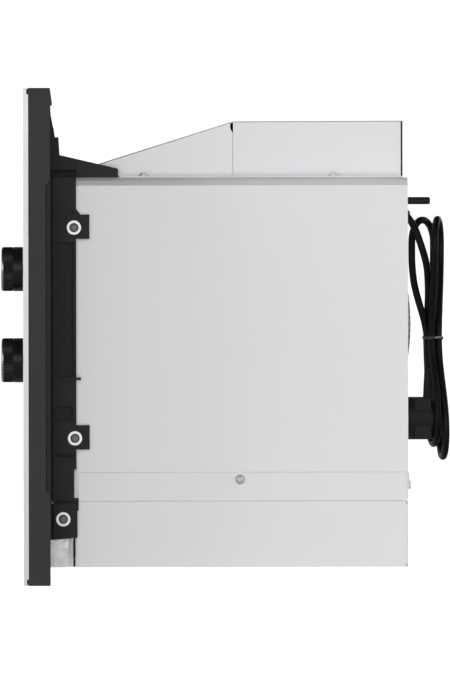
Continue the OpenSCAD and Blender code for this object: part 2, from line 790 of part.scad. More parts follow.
module latch_board() {
    x0 = 114.5;
    y0 = frame_back + 1.5;
    color("#e2e1db") difference() {
        union() {
            block([x0, y0, 57], [x0 + 2.6, -112, 276]);
            block([x0, y0, 57], [x0 + 8, y0 + 2, 276]);
            rod_x(lever_y, lever_z, x0, x0 + 12, 12);
        }
        rod_x(lever_y, lever_z, x0 - 1, x0 + 13, 6.12);
        for (z = [130, 200]) rod_x(-130, z, x0 - 1, x0 + 4, 9);
    }
}

module door_switches() {
    x0 = 117.4;
    color("#1f2022") for (z = [92, 170, 250]) {
        block([x0, -142, z], [x0 + 10, -114, z + 16]);
        block([x0 + 3, -145, z + 4], [x0 + 7, -141, z + 7]);
        for (i = [0 : 2]) block([x0 + 4, -115, z + 2 + i * 5], [x0 + 4.8, -108, z + 5 + i * 5]);
    }
}

module release_lever() {
    x1 = 178;
    color("#e7e5dc") {
        rod_x(lever_y, lever_z, latch_x - 3, x1, 6);
        // Arm under the lower hook.
        block([latch_x - 3, -142, lever_z - 3], [latch_x + 4, lever_y, lever_z + 3]);
        block([latch_x - 3, -143.6, lever_z - 2], [latch_x + 4, -140, lever_z + 4.1]);
        // Arm that the push button's rod meets.
        block([knob_x - 4, lever_y - 3, lever_z - 2], [knob_x + 4, lever_y + 3, lever_z + lever_arm + 5]);
    }
}

module latch_hook() {
    y0 = -165;
    y1 = -157.5;
    tip = -139.8;
    color("#dfddd4") {
        block([latch_x - 4.5, y0, 59.5], [latch_x + 4.5, y1, 284]);
        for (z = hook_z) {
            block([latch_x - 2.5, y1 - 1, z], [latch_x + 2.5, tip, z + hook_h]);
            block([latch_x - 2.5, -146, z - 3], [latch_x + 2.5, tip, z + 1]);
        }
    }
}

module latch_spring() {
    color("#c4c6c8") translate([latch_x, -161.3, 284.2]) spring(15, 5.6, 0.8, 6);
}

// ---------------------------------------------------------------- controls

module control_panel() {
    depth = door_back;
    color("#b7b8ba") difference() {
        union() {
            difference() {
                block([panel_left, skin_front, open_bottom + 1.5], [panel_right, depth, open_top - 1.5]);
                block([panel_left + 2.5, skin_front + wall, open_bottom + 4],
                      [panel_right - 2.5, depth + 1, open_top - 4]);
            }
            // Guide for the push button's rod, on two legs.
            for (x = [knob_x - 13, knob_x + 10])
                block([x, skin_front + wall - 1, button_z - 15.5], [x + 3, -147, button_z - 13]);
            for (x = [knob_x - 13, knob_x + 10]) block([x, -150, button_z - 15.5], [x + 3, -147, button_z + 8]);
            block([knob_x - 13, -150, button_z - 8], [knob_x + 13, -147, button_z + 8]);
            // Bosses around the spindles.
            for (z = [power_z, timer_z]) rod_y(knob_x, z, skin_front + 2, skin_front + 5, 16);
        }
        for (z = [power_z, timer_z]) rod_y(knob_x, z, skin_front - 1, skin_front + 6, 8.4);
        rod_y(knob_x, button_z, -151, -146, 6.12);
        block([knob_x - 30.4, skin_front - 1, button_z - 12.4],
              [knob_x + 30.4, skin_front + wall + 1, button_z + 12.4]);
    }
}

// A clockwork or switch body behind the panel.
module control_body(z, half_w, half_h, back) {
    y0 = skin_front + 5.3;
    difference() {
        union() {
            block([knob_x - half_w, y0, z - half_h], [knob_x + half_w, back, z + half_h]);
            for (i = [-1 : 1])
                block([knob_x + i * 12 - 3, back - 1, z - 8], [knob_x + i * 12 + 3, back + 7, z - 7.2]);
        }
        rod_y(knob_x, z, y0 - 1, y0 + 13, 6.12);
    }
}

module timer_unit() {
    color("#d9d7cf") control_body(timer_z, 22, 24, -128);
    color("#b08d57") translate([knob_x, -128, timer_z + 12]) rotate([-90, 0, 0])
        cylinder(h = 8, d1 = 18, d2 = 14);
}

module power_selector() {
    color("#d9d7cf") control_body(power_z, 19, 19, -136);
}

// The steel spindle of a knob, running in its body's bore.
module spindle(z) {
    color("#a8abae") rod_y(knob_x, z, skin_front - knob_reach + 7, skin_front + 16, 6);
}

module timer_spindle() {
    spindle(timer_z);
}

module power_spindle() {
    spindle(power_z);
}

// A knob: a plain skirt, a fine groove and a knurled grip, open at the back for the spindle.
module knob(z) {
    skirt = 7.6;
    cap = 2.4;
    groove = 0.4;
    grip_r = knob_d / 2;
    ribs = 60;
    color("#1c1d1f") translate([knob_x, skin_front - 0.4, z]) rotate([90, 0, 0]) difference() {
        union() {
            cylinder(h = skirt, r = grip_r);
            cylinder(h = knob_reach - cap, r = grip_r - 0.7);
            translate([0, 0, skirt + groove]) linear_extrude(knob_reach - cap - skirt - groove)
                polygon([for (i = [0 : 2 * ribs - 1])
                    (grip_r - 0.1 - (i % 2) * 0.4) * [cos(180 * i / ribs), sin(180 * i / ribs)]]);
        }
        translate([0, 0, -1]) cylinder(h = 11.6, d = 6.04);
        translate([0, 0, -1]) difference() {
            cylinder(h = 6, r = grip_r - 2.4);
            cylinder(h = 6, r = 6);
        }
    }
}

module timer_knob() {
    knob(timer_z);
}

module power_knob() {
    knob(power_z);
}

// The bright domed cap on a knob's face.
module knob_cap(z) {
    r = knob_d / 2 - 0.3;
    color("#c9cbcd") translate([knob_x, skin_front - knob_reach + 2, z]) rotate([90, 0, 0])
        rotate_extrude($fn = 96)
            polygon(concat([[0, 0], [r, 0]], arc([r - 1.4, 0.1], 1.4, 0, 70, 6),
                           [[r - 3, 1.6], [r - 8, 1.9], [0, 2]]));
}

module timer_cap() {
    knob_cap(timer_z);
}

module power_cap() {
    knob_cap(power_z);
}

module push_button() {
    front = skin_front + 0.2;
    back = skin_front + 12;
    color("#aeb0b3") {
        difference() {
            block([knob_x - 30, front, button_z - 12], [knob_x + 30, back, button_z + 12]);
            block([knob_x - 28, front + 3, button_z - 10], [knob_x + 28, back + 1, button_z + 10]);
        }
        rod_y(knob_x, button_z, front + 2, -130.3, 6);
        translate([knob_x, -130.3, button_z]) sphere(d = 6);
    }
}

module button_spring() {
    color("#c4c6c8") translate([knob_x, -150.3, button_z]) rotate([90, 0, 0]) spring(18, 9, 1, 5);
}

module filter_board() {
    color("#2f6b45") {
        block([108, 62, 268], [206, 104, 269.6]);
        rod_z(130, 84, 269.6, 284, 20);
        block([150, 72, 269.6], [176, 98, 288]);
        block([184, 74, 269.6], [198, 96, 281]);
    }
}

// ---------------------------------------------------------------- door

module window_hole(y0, y1, grow = 0) {
    block([window[0][0] - grow, y0, window[0][1] - grow], [window[1][0] + grow, y1, window[1][1] + grow]);
}

module door_frame() {
    front = skin_front + 1;
    color("#242527") difference() {
        union() {
            block([door_left + 4, front, door_bottom], [door_right, door_back, door_top]);
            // Rounded edge around the hinge line.
            block([door_left, front + 4, door_bottom], [door_left + 5, door_back, door_top]);
            rod_z(door_left + 4, front + 4, door_bottom, door_top, 8);
        }
        window_hole(front - 1, door_back + 1);
        window_hole(front - 1, front + 3, 4);
        // Recess for the choke, open at the back.
        block([-218, -159.4, 55], [99.8, door_back + 1, 303]);
        // Channel for the latch hook.
        block([latch_x - 6, -166.6, 55], [latch_x + 6, door_back + 1, 300]);
        for (end = [[door_bottom - 1, door_bottom + 9], [door_top - 9, door_top + 1]])
            rod_z(hinge_x, hinge_y, end[0], end[1], pin_d + 0.16);
    }
}

module door_skin() {
    color("#c6c7c8") difference() {
        block([door_left + 4.2, skin_front, door_bottom], [door_right, skin_front + 0.8, door_top]);
        window_hole(skin_front - 1, skin_front + 2, 4);
    }
}

module door_glass() {
    color("#3b4044") block([window[0][0] - 3.5, skin_front + 0.2, window[0][1] - 3.5],
                           [window[1][0] + 3.5, skin_front + 3.8, window[1][1] + 3.5]);
}

// The choke pan: a folded rim around the perforated viewing screen.
module door_choke() {
    y0 = -159.2;
    y1 = door_back - 0.2;
    color("#8f9193") difference() {
        block([-217.6, y0, 55.4], [99.4, y1, 302.6]);
        block([-216.6, y0 + 0.8, 56.4], [98.4, y1 - 0.8, 301.6]);
        window_hole(y0 + 0.8, y1 + 1, 2);
    }
}

// ---------------------------------------------------------------- mains cord

module cord_gland() {
    color("#1d1e20") {
        block([gland_x - 8, case_back, cord_exit[2] + 2.4], [gland_x + 8, case_back + 1.6, cord_exit[2] + 13]);
        rod_y(gland_x, cord_exit[2] + 4, case_back - 4, case_back, 8.6);
        intersection() {
            translate(cord_exit) rotate([-exit_tilt, 0, 0]) translate([0, 0, -7]) cylinder(h = 7, d = 7.6);
            block([gland_x - 9, case_back, cord_exit[2] - 9], [gland_x + 9, case_back + 12, cord_exit[2] + 14]);
        }
    }
}

module cord_lead() {
    color("#2a2b2d") tube(cord_route, cord_d);
}

// The folded cord, as an outline seen from the side crossed with one seen from behind.
module cord_hank() {
    side_outline = concat(
        arc([149.8, 262], 14.2, 0, 180), [[135.6, 235], [141, 208], [146, tie_z + 3], [146, tie_z - 3]],
        [[152.6, 152], [155.7, 142], [155.7, 96]], arc([161, 92], 5.3, 180, 360),
        [[166.4, 100], [166, 140], [162.8, tie_z - 3], [162.8, tie_z + 3]]);
    rear_outline = concat(
        arc([hank_x, 253], 23, -20, 200), [[hank_x - 9, tie_z + 5], [hank_x - 9, tie_z - 5]],
        arc([hank_x, 107], 24.4, 160, 380), [[hank_x + 9, tie_z - 5], [hank_x + 9, tie_z + 5]]);
    color("#2a2b2d") intersection() {
        along_x(hank_x - 30, hank_x + 30) polygon(side_outline);
        along_y(130, 170) polygon(rear_outline);
    }
}

module cord_tie() {
    thick = 1;
    half_w = 9.2;
    color("#3a3b3d") difference() {
        block([hank_x - half_w - thick, 145.8 - thick, tie_z - 1.3],
              [hank_x + half_w + thick, 163 + thick, tie_z + 1.3]);
        block([hank_x - half_w, 145.8, tie_z - 2], [hank_x + half_w, 163, tie_z + 2]);
    }
}

module plug() {
    grip_h = 9.6;
    color("#232426") {
        rod_y(plug_x, plug_z, plug_face, plug_back - 3, plug_d);
        rod_y(plug_x, plug_z, plug_back - 3, plug_back, plug_d - 6);
        for (side = [-1, 1])
            block([plug_x - 15.8, plug_face + 5, plug_z + side * 11.2 - grip_h / 2],
                  [plug_x + 15.8, plug_back - 4, plug_z + side * 11.2 + grip_h / 2]);
        // Strain relief that leads the cord up into the bundle.
        translate([plug_x, plug_back - 5.2, plug_z + 12]) cylinder(h = 28, d1 = 10, d2 = 7.2);
    }
}

module plug_pins() {
    color("#c8a75c") for (side = [-1, 1]) {
        rod_y(plug_x + side * 9.5, plug_z, plug_face - 16.6, plug_face, 4.8);
        translate([plug_x + side * 9.5, plug_face - 16.6, plug_z]) sphere(d = 4.8);
    }
}

trim_frame();
frame_skin();
side_cheeks();
cheek_screws();
air_deflector();
outer_cabinet();
case_screws();
chassis_base();
rear_panel();
rear_vent();
spacer_pin();
stand_box();
stand_brackets();
duct_cover();
front_plate();
door_hinges();
cavity();
waveguide();
waveguide_cover();
magnetron();
transformer();
capacitor();
cavity_lamp();
fan_shroud();
fan_motor();
fan_blade();
turntable_motor();
turntable_coupler();
glass_tray();
roller_ring();
roller(30);  // roller_1
roller(150);  // roller_2
roller(270);  // roller_3
latch_board();
door_switches();
release_lever();
control_panel();
timer_unit();
power_selector();
filter_board();
push_button();
button_spring();
timer_spindle();
power_spindle();
timer_knob();
power_knob();
timer_cap();
power_cap();
door_frame();
door_skin();
door_glass();
door_choke();
latch_hook();
latch_spring();
cord_gland();
cord_lead();
cord_hank();
cord_tie();
plug();
plug_pins();
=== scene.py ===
"""A built-in microwave oven seen from its right side: cord, looks, small fittings, light and camera.

Everything is in metres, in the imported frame: X right seen from the front, front at -Y, Z up.
"""

import json
import math

import bmesh
import bpy
import numpy as np
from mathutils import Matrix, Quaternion, Vector


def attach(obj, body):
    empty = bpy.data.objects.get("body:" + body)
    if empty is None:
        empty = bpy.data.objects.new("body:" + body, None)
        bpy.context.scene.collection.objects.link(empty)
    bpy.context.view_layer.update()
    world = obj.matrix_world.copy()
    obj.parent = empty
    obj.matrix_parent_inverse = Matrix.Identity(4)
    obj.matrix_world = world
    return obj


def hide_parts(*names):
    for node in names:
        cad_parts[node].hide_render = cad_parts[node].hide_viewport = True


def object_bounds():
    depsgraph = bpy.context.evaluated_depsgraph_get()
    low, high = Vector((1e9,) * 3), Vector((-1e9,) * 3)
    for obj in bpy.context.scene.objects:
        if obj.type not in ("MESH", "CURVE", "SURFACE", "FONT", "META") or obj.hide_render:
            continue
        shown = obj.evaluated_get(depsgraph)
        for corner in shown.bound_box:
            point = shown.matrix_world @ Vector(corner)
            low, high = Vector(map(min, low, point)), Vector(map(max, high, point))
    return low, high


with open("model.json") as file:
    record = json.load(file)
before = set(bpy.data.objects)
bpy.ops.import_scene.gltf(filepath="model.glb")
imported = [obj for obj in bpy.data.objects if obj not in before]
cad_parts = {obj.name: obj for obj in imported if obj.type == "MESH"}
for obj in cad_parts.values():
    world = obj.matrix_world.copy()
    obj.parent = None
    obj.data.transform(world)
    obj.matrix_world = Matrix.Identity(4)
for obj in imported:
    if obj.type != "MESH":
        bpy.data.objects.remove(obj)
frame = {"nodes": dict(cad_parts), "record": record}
cad_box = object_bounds()
NODES = frame["nodes"]
MM = 0.001


def mm(x, y, z):
    """A point given in millimetres, in metres."""
    return Vector((x, y, z)) * MM


# ---------------------------------------------------------------- camera

# Metres, millimetres of focal length and degrees.
FRAME_BACK_Y = -0.151
CAMERA_DISTANCE = 9.984
CAMERA_HEIGHT = 0.1804
CAMERA_AIM = (0.0, -0.0107, 0.1803)
LENS = 663.2
ROLL = 0.1


def make_camera():
    """Far to the right, level with the oven's middle and in line with the trim frame's back."""
    data = bpy.data.cameras.new("camera")
    data.lens = LENS
    data.sensor_width = 36.0
    data.clip_start = 0.5
    data.clip_end = 60.0
    camera = bpy.data.objects.new("camera", data)
    bpy.context.scene.collection.objects.link(camera)
    camera.location = (CAMERA_DISTANCE, FRAME_BACK_Y, CAMERA_HEIGHT)
    camera.rotation_mode = "QUATERNION"
    towards = (Vector(CAMERA_AIM) - camera.location).to_track_quat("-Z", "Y")
    camera.rotation_quaternion = towards @ Quaternion((0.0, 0.0, 1.0), math.radians(-ROLL))
    bpy.context.scene.camera = camera


make_camera()

# ---------------------------------------------------------------- shaders

RANGE_SOCKETS = ("From Min", "From Max", "To Min", "To Max")


class Look:
    """A Principled material with helpers for small procedural networks in row-frame coordinates."""

    def __init__(self, name, colour, roughness, metallic=0.0, **sockets):
        self.material = bpy.data.materials.new(name)
        self.material.use_nodes = True
        self.tree = self.material.node_tree
        self.shader = self.tree.nodes["Principled BSDF"]
        self.set("Base Color", (*colour, 1.0))
        self.set("Roughness", roughness)
        self.set("Metallic", metallic)
        for socket, value in sockets.items():
            self.set(socket.replace("_", " "), value)

    def set(self, socket, value):
        self.shader.inputs[socket].default_value = value

    def node(self, kind, **values):
        made = self.tree.nodes.new(kind)
        for key, value in values.items():
            setattr(made, key, value)
        return made

    def link(self, source, target):
        self.tree.links.new(source, target)

    def place(self, stretch=(1.0, 1.0, 1.0)):
        coordinates = self.node("ShaderNodeTexCoord")
        mapping = self.node("ShaderNodeMapping")
        mapping.inputs["Scale"].default_value = stretch
        self.link(coordinates.outputs["Object"], mapping.inputs["Vector"])
        return mapping.outputs["Vector"]

    def noise(self, scale, detail=2.0, rough=0.5, stretch=(1.0, 1.0, 1.0)):
        """Noise whose features are about 1/scale metres across."""
        made = self.node("ShaderNodeTexNoise")
        made.inputs["Scale"].default_value = scale
        made.inputs["Detail"].default_value = detail
        made.inputs["Roughness"].default_value = rough
        self.link(self.place(stretch), made.inputs["Vector"])
        return made.outputs["Fac"]

    def cells(self, scale, output="Distance"):
        """Cells about 1/scale metres across: the distance to each one's centre, or its own colour."""
        made = self.node("ShaderNodeTexVoronoi", feature="F1")
        made.inputs["Scale"].default_value = scale
        self.link(self.place(), made.inputs["Vector"])
        return made.outputs[output]

    def remap(self, value, low, high, to_low=0.0, to_high=1.0):
        made = self.node("ShaderNodeMapRange")
        for socket, number in zip(RANGE_SOCKETS, (low, high, to_low, to_high)):
            made.inputs[socket].default_value = number
        self.link(value, made.inputs["Value"])
        return made.outputs["Result"]

    def math(self, operation, first, second):
        made = self.node("ShaderNodeMath", operation=operation)
        for socket, value in zip(made.inputs, (first, second)):
            if isinstance(value, (int, float)):
                socket.default_value = value
            else:
                self.link(value, socket)
        return made.outputs["Value"]

    def blend(self, factor, first, second):
        """A colour between two, by factor."""
        made = self.node("ShaderNodeMix", data_type="RGBA")
        self.link(factor, made.inputs["Factor"])
        for socket, value in ((made.inputs[6], first), (made.inputs[7], second)):
            if isinstance(value, tuple):
                socket.default_value = (*value, 1.0)
            else:
                self.link(value, socket)
        return made.outputs[2]

    def colour(self, source):
        self.link(source, self.shader.inputs["Base Color"])

    def roughness(self, source):
        self.link(source, self.shader.inputs["Roughness"])

    def bump(self, height, strength, distance):
        """Raises the surface by up to distance metres."""
        made = self.node("ShaderNodeBump")
        made.inputs["Strength"].default_value = strength
        made.inputs["Distance"].default_value = distance
        self.link(height, made.inputs["Height"])
        previous = self.shader.inputs["Normal"].links
        if previous:
            self.link(previous[0].from_socket, made.inputs["Normal"])
        self.link(made.outputs["Normal"], self.shader.inputs["Normal"])


def scaled(colour, factor):
    return tuple(min(1.0, c * factor) for c in colour)


def painted_sheet(name, colour, roughness):
    """Coated steel sheet: a fine grain, a faint orange peel and a few dull rubs."""
    look = Look(name, colour, roughness, Specular_IOR_Level=0.4)
    grain = look.noise(1400.0, 2.0, 0.6)
    cloud = look.noise(9.0, 3.0)
    fleck = look.remap(look.noise(2600.0, 1.0), 0.62, 0.72)
    tone = look.blend(look.remap(cloud, 0.3, 0.7), scaled(colour, 0.985), scaled(colour, 1.012))
    tone = look.blend(look.remap(grain, 0.25, 0.75, 0.0, 0.5), tone, scaled(colour, 0.95))
    look.colour(look.blend(look.math("MULTIPLY", fleck, 0.5), tone, scaled(colour, 0.86)))
    look.roughness(look.remap(cloud, 0.3, 0.7, roughness - 0.06, roughness + 0.08))
    look.bump(look.noise(700.0, 2.0), 0.25, 0.00012)
    look.bump(grain, 0.2, 0.00005)
    return look.material


def moulded_black(name, colour, roughness, grain_depth=0.00008, wear=1.6, gloss=0.3):
    """Moulded plastic: a fine leathery texture, slightly greyer where it has been handled."""
    look = Look(name, colour, roughness, Specular_IOR_Level=gloss)
    cloud = look.noise(22.0, 4.0, 0.6)
    rubbed = look.remap(cloud, 0.45, 0.75)
    look.colour(look.blend(rubbed, colour, scaled(colour, wear)))
    look.roughness(look.remap(cloud, 0.3, 0.7, roughness - 0.05, roughness + 0.1))
    look.bump(look.cells(1500.0), 0.5, grain_depth)
    look.bump(look.noise(160.0, 2.0), 0.15, 0.0001)
    return look.material


def brushed_metal(name, colour, roughness, along="x", metallic=1.0):
    """Metal with fine brush lines along one axis."""
    stretch = {"x": (0.012, 1.0, 1.0), "y": (1.0, 0.012, 1.0), "z": (1.0, 1.0, 0.012)}[along]
    look = Look(name, colour, roughness, metallic=metallic)
    lines = look.noise(2600.0, 3.0, 0.7, stretch)
    smudge = look.noise(7.0, 3.0)
    look.colour(look.blend(look.remap(lines, 0.3, 0.7), scaled(colour, 0.86), scaled(colour, 1.06)))
    fine = look.remap(lines, 0.3, 0.7, -0.07, 0.07)
    broad = look.remap(smudge, 0.3, 0.7, roughness - 0.03, roughness + 0.06)
    look.roughness(look.math("ADD", fine, broad))
    look.bump(lines, 0.3, 0.00003)
    return look.material


def plated_metal(name, colour, roughness, metallic=1.0):
    """Bright plated metal with faint turning marks and dull spots."""
    look = Look(name, colour, roughness, metallic=metallic)
    spots = look.noise(900.0, 3.0)
    look.colour(look.blend(look.remap(spots, 0.35, 0.75), colour, scaled(colour, 0.78)))
    look.roughness(look.remap(spots, 0.3, 0.7, roughness, roughness + 0.18))
    look.bump(look.noise(2400.0, 1.0), 0.2, 0.00002)
    return look.material


def ringed_screws(name, ring, head_shade, places, head_radius):
    """Bright washers round screw heads painted darker as painted shade; the places are the heads' [y, z] in
    millimetres.
    """
    look = Look(name, ring, 0.34, metallic=0.5)
    split = look.node("ShaderNodeSeparateXYZ")
    look.link(look.place(), split.inputs[0])
    nearest = None
    for y, z in places:
        squares = [
            look.math("POWER", look.math("SUBTRACT", split.outputs[axis], value * MM), 2.0)
            for axis, value in (("Y", y), ("Z", z))
        ]
        distance = look.math("SQRT", look.math("ADD", *squares), 0.0)
        nearest = distance if nearest is None else look.math("MINIMUM", nearest, distance)
    # Painted shade: the colour turns dark inside each head's radius.
    head_shade_mask = look.remap(nearest, head_radius, head_radius + 0.2 * MM, 1.0, 0.0)
    look.colour(look.blend(head_shade_mask, ring, head_shade))
    look.roughness(look.remap(look.noise(900.0, 3.0), 0.3, 0.7, 0.34, 0.5))
    return look.material


def galvanised_sheet(name, colour):
    """Zinc-coated sheet with its spangle."""
    look = Look(name, colour, 0.38, metallic=0.6)
    spangle = look.cells(230.0, output="Color")
    value = look.node("ShaderNodeSeparateColor")
    look.link(spangle, value.inputs["Color"])
    look.colour(look.blend(value.outputs[0], scaled(colour, 0.93), scaled(colour, 1.05)))
    look.roughness(look.remap(value.outputs[1], 0.0, 1.0, 0.28, 0.5))
    look.bump(look.noise(500.0, 2.0), 0.15, 0.00005)
    return look.material


def speckled(name, colour, roughness, speck, scale=900.0):
    """A plain moulded, enamelled or pressed surface with a fine speckle."""
    look = Look(name, colour, roughness)
    dots = look.remap(look.noise(scale, 2.0), 0.56, 0.66)
    cloud = look.noise(18.0, 3.0)
    tone = look.blend(look.remap(cloud, 0.3, 0.7), scaled(colour, 0.93), scaled(colour, 1.05))
    look.colour(look.blend(look.math("MULTIPLY", dots, 0.6), tone, speck))
    look.roughness(look.remap(cloud, 0.3, 0.7, roughness - 0.05, roughness + 0.08))
    look.bump(look.noise(scale * 0.5, 2.0), 0.2, 0.00006)
    return look.material


def cable_sheath(name, colour):
    """Flexible cable sheath: satin, with the faint lay of its cores and dusty scuffs."""
    look = Look(name, colour, 0.42, Specular_IOR_Level=0.2)
    scuff = look.remap(look.noise(60.0, 4.0, 0.65), 0.5, 0.72)
    look.colour(look.blend(scuff, colour, scaled(colour, 1.9)))
    look.roughness(look.remap(look.noise(90.0, 3.0), 0.3, 0.7, 0.34, 0.52))
    look.bump(look.noise(900.0, 2.0), 0.25, 0.00006)
    look.bump(look.noise(70.0, 1.0), 0.25, 0.00025)
    return look.material


def windings(name, colour):
    """Varnished laminations and enamelled wire."""
    look = Look(name, colour, 0.4, metallic=0.35)
    layers = look.node("ShaderNodeTexWave", bands_direction="Z")
    layers.inputs["Scale"].default_value = 260.0
    layers.inputs["Distortion"].default_value = 0.4
    look.link(look.place(), layers.inputs["Vector"])
    look.colour(look.blend(layers.outputs["Fac"], scaled(colour, 0.55), scaled(colour, 1.5)))
    look.roughness(look.remap(look.noise(120.0), 0.3, 0.7, 0.3, 0.5))
    look.bump(layers.outputs["Fac"], 0.5, 0.0003)
    return look.material


def clear_glass(name, colour, roughness, transmission):
    """Pressed or float glass with faint waves and finger marks."""
    look = Look(name, colour, roughness, Transmission_Weight=transmission, IOR=1.5)
    smear = look.remap(look.noise(14.0, 4.0, 0.6), 0.5, 0.75)
    look.roughness(look.math("ADD", look.math("MULTIPLY", smear, 0.05), roughness))
    look.bump(look.noise(30.0, 1.0), 0.06, 0.0002)
    return look.material


def perforated_screen(name, colour):
    """The viewing screen: dark round holes in rows, in the XZ plane."""
    look = Look(name, colour, 0.45, metallic=0.8)
    dots = look.node("ShaderNodeTexVoronoi", feature="F1")
    dots.inputs["Scale"].default_value = 420.0
    dots.inputs["Randomness"].default_value = 0.0
    look.link(look.place((1.0, 0.001, 1.0)), dots.inputs["Vector"])
    hole = look.remap(dots.outputs["Distance"], 0.36, 0.44, 1.0, 0.0)
    look.colour(look.blend(hole, colour, (0.006, 0.006, 0.007)))
    look.bump(dots.outputs["Distance"], 0.4, 0.0003)
    look.roughness(look.remap(look.noise(60.0), 0.3, 0.7, 0.38, 0.52))
    return look.material


# The record's material slots and the finish of each.
LOOKS = {
    "frame_black": moulded_black("frame_black", (0.026, 0.026, 0.0275), 0.55, 0.00006, 1.2),
    "skin_steel": brushed_metal("skin_steel", (0.8, 0.8, 0.81), 0.34, "x", 0.75),
    "bracket_black": moulded_black("bracket_black", (0.0145, 0.0145, 0.015), 0.5, 0.00005, 1.4),
    "cabinet_grey": painted_sheet("cabinet_grey", (0.66, 0.66, 0.672), 0.5),
    "screw_zinc": plated_metal("screw_zinc", (0.8, 0.8, 0.81), 0.34, 0.7),
    "vent_grey": brushed_metal("vent_grey", (0.4, 0.4, 0.41), 0.4, "z"),
    "spacer_black": moulded_black("spacer_black", (0.01, 0.01, 0.0105), 0.5),
    "galvanised": galvanised_sheet("galvanised", (0.88, 0.885, 0.89)),
    "cavity_grey": speckled("cavity_grey", (0.42, 0.43, 0.44), 0.35, (0.3, 0.31, 0.32)),
    "mica": speckled("mica", (0.55, 0.5, 0.38), 0.6, (0.75, 0.7, 0.55), 500.0),
    "magnetron_metal": brushed_metal("magnetron_metal", (0.6, 0.61, 0.63), 0.36, "y"),
    "core_brown": windings("core_brown", (0.24, 0.15, 0.09)),
    "lamp_glass": clear_glass("lamp_glass", (0.98, 0.96, 0.88), 0.08, 0.7),
    "white_plastic": speckled("white_plastic", (0.75, 0.74, 0.7), 0.45, (0.66, 0.65, 0.6)),
    "tray_glass": clear_glass("tray_glass", (0.86, 0.94, 0.93), 0.03, 0.95),
    "panel_silver": brushed_metal("panel_silver", (0.55, 0.55, 0.56), 0.36),
    "board_green": speckled("board_green", (0.03, 0.18, 0.08), 0.35, (0.6, 0.45, 0.15), 300.0),
    "spring_steel": plated_metal("spring_steel", (0.6, 0.6, 0.62), 0.3),
    "knob_black": moulded_black("knob_black", (0.0055, 0.0055, 0.006), 0.28, 0.00002, 1.5, 0.5),
    "knob_cap": brushed_metal("knob_cap", (0.74, 0.74, 0.75), 0.28),
    "door_glass": clear_glass("door_glass", (0.05, 0.055, 0.06), 0.03, 0.6),
    "cord_black": cable_sheath("cord_black", (0.0026, 0.0026, 0.0028)),
    "tie_grey": speckled("tie_grey", (0.03, 0.03, 0.031), 0.4, (0.08, 0.08, 0.08)),
    "plug_black": moulded_black("plug_black", (0.009, 0.009, 0.0095), 0.5, 0.00005, 1.5),
    "pin_nickel": plated_metal("pin_nickel", (0.72, 0.68, 0.58), 0.2),
}
SCREEN = perforated_screen("screen_dots", (0.45, 0.46, 0.47))
# The cheek screws' places in the CAD, and a little more than their heads' radius, inside which the heads get
# painted shade.
CHEEK_SCREW_PLACES = [(-132.3, 266.7), (-131.7, 101.4), (-141.0, 37.9)]
HEAD_RADIUS = 2.85 * MM
WASHERS = ringed_screws(
    "washer_zinc_head_shade", (0.95, 0.95, 0.95), (0.22, 0.22, 0.225), CHEEK_SCREW_PLACES, HEAD_RADIUS
)


def dress_nodes():
    """Gives every CAD node the look of its slot."""
    for part in frame["record"]["subparts"]:
        materials = NODES[part["node"]].data.materials
        materials.clear()
        materials.append(LOOKS[part["material_slot"]])
    NODES["door_choke"].data.materials[0] = SCREEN
    NODES["cheek_screws"].data.materials[0] = WASHERS


dress_nodes()

# ---------------------------------------------------------------- making pieces


def link_piece(name, mesh_or_curve, slot, body):
    piece = bpy.data.objects.new(name, mesh_or_curve)
    bpy.context.scene.collection.objects.link(piece)
    mesh_or_curve.materials.append(LOOKS[slot])
    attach(piece, body)
    return piece


def smooth(mesh, angle=35.0):
    for polygon in mesh.polygons:
        polygon.use_smooth = True
    mesh.set_sharp_from_angle(angle=math.radians(angle))


# ---------------------------------------------------------------- mains cord

CORD_D = 0.0057
CORD_STEP = 3.5
TIE_Z = 179.8
# All places below are [x, y, z] in millimetres. The lead's route from its gland is the CAD lead's.
LEAD = [(100, 132.5, 277), (100, 133.7, 275.4), (100, 135, 273.6), (100, 136.3, 271.7), (100, 137.5, 269.7)]
LEAD_RUN = [(100.5, 140.2, 264), (101.2, 142.6, 257.2), (101, 145.1, 249.6), (99.5, 147.4, 241.6),
            (97, 149.1, 232), (90, 150, 214), (84, 149.6, 196)]
# Where the five strands pass through the tie, in the order that the cord runs through them.
TIE_SLOTS = [(80.8, 149.1), (91.5, 152.4), (88.5, 158.0), (83.6, 154.1), (86.5, 149.1)]
# The loop ends between them, in the same order: the half-round's start and end [x, y] and its tip's height.
LOOP_ENDS = [
    ((63.5, 151.0), (106.5, 157.0), 95.5),
    ((104.0, 154.7), (66.0, 160.4), 274.2),
    ((104.5, 163.4), (65.5, 159.4), 85.3),
    ((65.0, 154.8), (95.0, 136.7), 273.7),
]
LAST_RUN = [(94.6, 136.7, 246), (94, 136.9, 238), (92.8, 138.1, 226), (91.5, 140.2, 216), (90.2, 143, 206),
            (88.3, 146.8, 193)]
TAIL = [(87.4, 149.8, 168), (88, 150.3, 158), (88, 150.3, 150), (88, 150.3, 141)]


def ease(t):
    return (1.0 - math.cos(math.pi * t)) / 2.0


def run(start, end, count=10):
    """Points between two [x, y, z], leaving and arriving straight up or down."""
    return [
        (start[0] + (end[0] - start[0]) * ease(i / count), start[1] + (end[1] - start[1]) * ease(i / count),
         start[2] + (end[2] - start[2]) * i / count)
        for i in range(1, count)
    ]


def loop_end(start, end, tip_z, count=14):
    """A half-round between two strands, with its tip at tip_z, above or below the tie."""
    radius = math.dist(start, end) / 2
    upward = 1 if tip_z > TIE_Z else -1
    points = []
    for i in range(count + 1):
        a = math.pi * i / count
        share = (1 - math.cos(a)) / 2
        points.append((start[0] + (end[0] - start[0]) * share, start[1] + (end[1] - start[1]) * share,
                       tip_z + upward * radius * (math.sin(a) - 1)))
    return points


